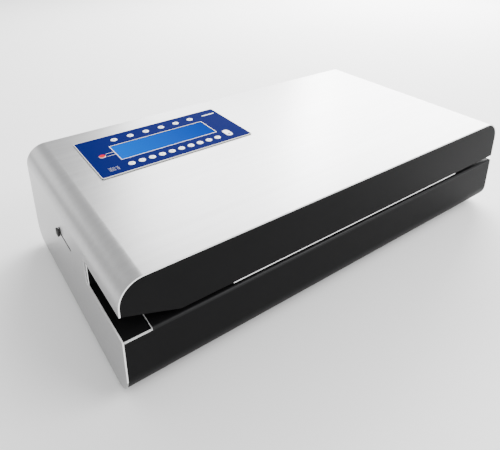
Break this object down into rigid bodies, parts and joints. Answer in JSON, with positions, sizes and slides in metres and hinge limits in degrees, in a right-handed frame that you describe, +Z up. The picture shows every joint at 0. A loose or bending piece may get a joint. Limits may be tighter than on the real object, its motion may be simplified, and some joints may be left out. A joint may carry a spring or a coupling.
{
  "type": "continuous heat sealer",
  "caption": "Bench-top continuous heat sealer for pouches: bent silver housing, black front covers with a side-entry feed slot, belt drive with heated bars, keypad and display.",
  "frame": {"origin": "on the ground under the middle of the case", "axes": "+Z up, +X to the right (the way a pouch travels), the front covers face -Y"},
  "size_m": [0.563, 0.3022, 0.1377],
  "materials": {
    "housing_silver": "fine satin brushed sheet with soft reflections",
    "cover_black": "satin black powder coat",
    "bare_metal": "bright cut metal",
    "zinc_sheet": "dull zinc plated sheet",
    "cast_aluminium": "machined aluminium",
    "turned_steel": "turned steel with fine rings",
    "foot_rubber": "matt black rubber",
    "black_plastic": "fine-grained moulded plastic",
    "gear_plastic": "off-white moulded plastic",
    "belt_rubber": "coated brown belt",
    "keypad_blue": "dark blue membrane film with a pale border",
    "display_blue": "backlit blue display under clear film",
    "key_white": "white domed key",
    "key_red": "red domed key with a pale ring",
    "circuit_board": "green circuit board",
    "motor_paint": "dark painted motor can"
  },
  "bodies": {
    "case": {"housing_shell": "housing_silver", "rear_panel": "housing_silver", "upper_front_cover": "cover_black", "lower_front_cover": "cover_black", "feed_table": "cover_black", "entry_floor": "cover_black", "guide_strip": "bare_metal", "base_tray": "zinc_sheet", "mechanism_back_plate": "zinc_sheet", "guide_bracket": "zinc_sheet", "power_supply": "zinc_sheet", "lower_bearing_plate": "cast_aluminium", "upper_bearing_plate": "cast_aluminium", "lower_heater_block": "cast_aluminium", "upper_heater_block": "cast_aluminium", "gearbox": "cast_aluminium", "pressure_leaf_spring": "turned_steel", "guide_rod": "turned_steel", "foot_front_left": "foot_rubber", "foot_front_right": "foot_rubber", "foot_rear_left": "foot_rubber", "foot_rear_right": "foot_rubber", "mains_inlet": "black_plastic", "lower_belt": "belt_rubber", "upper_belt": "belt_rubber", "keypad_panel": "keypad_blue", "display_module": "display_blue", "control_board": "circuit_board", "drive_motor": "motor_paint"},
    "edge_guide": {"edge_guide": "bare_metal", "guide_carriage": "black_plastic", "adjuster_knob": "black_plastic"},
    "lower_drive": {"lower_drive_pulley": "turned_steel", "lower_drive_gear": "gear_plastic"},
    "upper_drive": {"upper_drive_pulley": "turned_steel", "upper_drive_gear": "gear_plastic"},
    "lower_idler": {"lower_idler_pulley": "turned_steel"},
    "upper_idler": {"upper_idler_pulley": "turned_steel"},
    "lower_press": {"lower_press_roller": "turned_steel"},
    "upper_press": {"upper_press_roller": "turned_steel"},
    "pinion": {"motor_pinion": "turned_steel"},
    "power_rocker": {"power_rocker": "black_plastic"},
    "key_digit_0": {"key_digit_0": "key_white"},
    "key_digit_1": {"key_digit_1": "key_white"},
    "key_digit_2": {"key_digit_2": "key_white"},
    "key_digit_3": {"key_digit_3": "key_white"},
    "key_digit_4": {"key_digit_4": "key_white"},
    "key_digit_5": {"key_digit_5": "key_white"},
    "key_digit_6": {"key_digit_6": "key_white"},
    "key_digit_7": {"key_digit_7": "key_white"},
    "key_digit_8": {"key_digit_8": "key_white"},
    "key_digit_9": {"key_digit_9": "key_white"},
    "key_menu_1": {"key_menu_1": "key_white"},
    "key_menu_2": {"key_menu_2": "key_white"},
    "key_menu_3": {"key_menu_3": "key_white"},
    "key_menu_4": {"key_menu_4": "key_white"},
    "key_menu_5": {"key_menu_5": "key_white"},
    "key_menu_6": {"key_menu_6": "key_white"},
    "key_stop": {"key_stop": "key_red"},
    "key_start": {"key_start": "key_white"}
  },
  "joints": [
    {"name": "edge_guide_slide", "type": "slide", "parent": "case", "child": "edge_guide", "axis": [0, -1, 0], "range_m": [0, 0.038]},
    {"name": "lower_drive_turn", "type": "hinge", "parent": "case", "child": "lower_drive", "pos_m": [0.205, -0.12, 0.06445], "axis": [0, 1, 0], "continuous": true},
    {"name": "upper_drive_turn", "type": "hinge", "parent": "case", "child": "upper_drive", "pos_m": [0.205, -0.12, 0.09295], "axis": [0, 1, 0], "continuous": true},
    {"name": "lower_idler_turn", "type": "hinge", "parent": "case", "child": "lower_idler", "pos_m": [-0.205, -0.12, 0.06445], "axis": [0, 1, 0], "continuous": true},
    {"name": "upper_idler_turn", "type": "hinge", "parent": "case", "child": "upper_idler", "pos_m": [-0.205, -0.12, 0.09295], "axis": [0, 1, 0], "continuous": true},
    {"name": "lower_press_turn", "type": "hinge", "parent": "case", "child": "lower_press", "pos_m": [0.14, -0.12, 0.06795], "axis": [0, 1, 0], "continuous": true},
    {"name": "upper_press_turn", "type": "hinge", "parent": "case", "child": "upper_press", "pos_m": [0.14, -0.12, 0.08945], "axis": [0, 1, 0], "continuous": true},
    {"name": "pinion_turn", "type": "hinge", "parent": "case", "child": "pinion", "pos_m": [0.205, -0.12, 0.04165], "axis": [0, 1, 0], "continuous": true},
    {"name": "power_rocker_tip", "type": "hinge", "parent": "case", "child": "power_rocker", "pos_m": [0.218, 0.1488, 0.0865], "axis": [1, 0, 0], "range_deg": [0, 16]},
    {"name": "key_digit_0_press", "type": "slide", "parent": "case", "child": "key_digit_0", "axis": [0, 0, -1], "range_m": [0, 0.0005], "stiffness_N_per_m": 600},
    {"name": "key_digit_1_press", "type": "slide", "parent": "case", "child": "key_digit_1", "axis": [0, 0, -1], "range_m": [0, 0.0005], "stiffness_N_per_m": 600},
    {"name": "key_digit_2_press", "type": "slide", "parent": "case", "child": "key_digit_2", "axis": [0, 0, -1], "range_m": [0, 0.0005], "stiffness_N_per_m": 600},
    {"name": "key_digit_3_press", "type": "slide", "parent": "case", "child": "key_digit_3", "axis": [0, 0, -1], "range_m": [0, 0.0005], "stiffness_N_per_m": 600},
    {"name": "key_digit_4_press", "type": "slide", "parent": "case", "child": "key_digit_4", "axis": [0, 0, -1], "range_m": [0, 0.0005], "stiffness_N_per_m": 600},
    {"name": "key_digit_5_press", "type": "slide", "parent": "case", "child": "key_digit_5", "axis": [0, 0, -1], "range_m": [0, 0.0005], "stiffness_N_per_m": 600},
    {"name": "key_digit_6_press", "type": "slide", "parent": "case", "child": "key_digit_6", "axis": [0, 0, -1], "range_m": [0, 0.0005], "stiffness_N_per_m": 600},
    {"name": "key_digit_7_press", "type": "slide", "parent": "case", "child": "key_digit_7", "axis": [0, 0, -1], "range_m": [0, 0.0005], "stiffness_N_per_m": 600},
    {"name": "key_digit_8_press", "type": "slide", "parent": "case", "child": "key_digit_8", "axis": [0, 0, -1], "range_m": [0, 0.0005], "stiffness_N_per_m": 600},
    {"name": "key_digit_9_press", "type": "slide", "parent": "case", "child": "key_digit_9", "axis": [0, 0, -1], "range_m": [0, 0.0005], "stiffness_N_per_m": 600},
    {"name": "key_menu_1_press", "type": "slide", "parent": "case", "child": "key_menu_1", "axis": [0, 0, -1], "range_m": [0, 0.0005], "stiffness_N_per_m": 600},
    {"name": "key_menu_2_press", "type": "slide", "parent": "case", "child": "key_menu_2", "axis": [0, 0, -1], "range_m": [0, 0.0005], "stiffness_N_per_m": 600},
    {"name": "key_menu_3_press", "type": "slide", "parent": "case", "child": "key_menu_3", "axis": [0, 0, -1], "range_m": [0, 0.0005], "stiffness_N_per_m": 600},
    {"name": "key_menu_4_press", "type": "slide", "parent": "case", "child": "key_menu_4", "axis": [0, 0, -1], "range_m": [0, 0.0005], "stiffness_N_per_m": 600},
    {"name": "key_menu_5_press", "type": "slide", "parent": "case", "child": "key_menu_5", "axis": [0, 0, -1], "range_m": [0, 0.0005], "stiffness_N_per_m": 600},
    {"name": "key_menu_6_press", "type": "slide", "parent": "case", "child": "key_menu_6", "axis": [0, 0, -1], "range_m": [0, 0.0005], "stiffness_N_per_m": 600},
    {"name": "key_stop_press", "type": "slide", "parent": "case", "child": "key_stop", "axis": [0, 0, -1], "range_m": [0, 0.0005], "stiffness_N_per_m": 600},
    {"name": "key_start_press", "type": "slide", "parent": "case", "child": "key_start", "axis": [0, 0, -1], "range_m": [0, 0.0005], "stiffness_N_per_m": 600}
  ],
  "couplings": [
    {"joint": "upper_drive_turn", "follows": "lower_drive_turn", "ratio": -1},
    {"joint": "lower_idler_turn", "follows": "lower_drive_turn", "ratio": 1},
    {"joint": "upper_idler_turn", "follows": "lower_drive_turn", "ratio": -1},
    {"joint": "lower_press_turn", "follows": "lower_drive_turn", "ratio": 1.3763},
    {"joint": "upper_press_turn", "follows": "lower_drive_turn", "ratio": -1.3763},
    {"joint": "pinion_turn", "follows": "lower_drive_turn", "ratio": -1.6667}
  ]
}
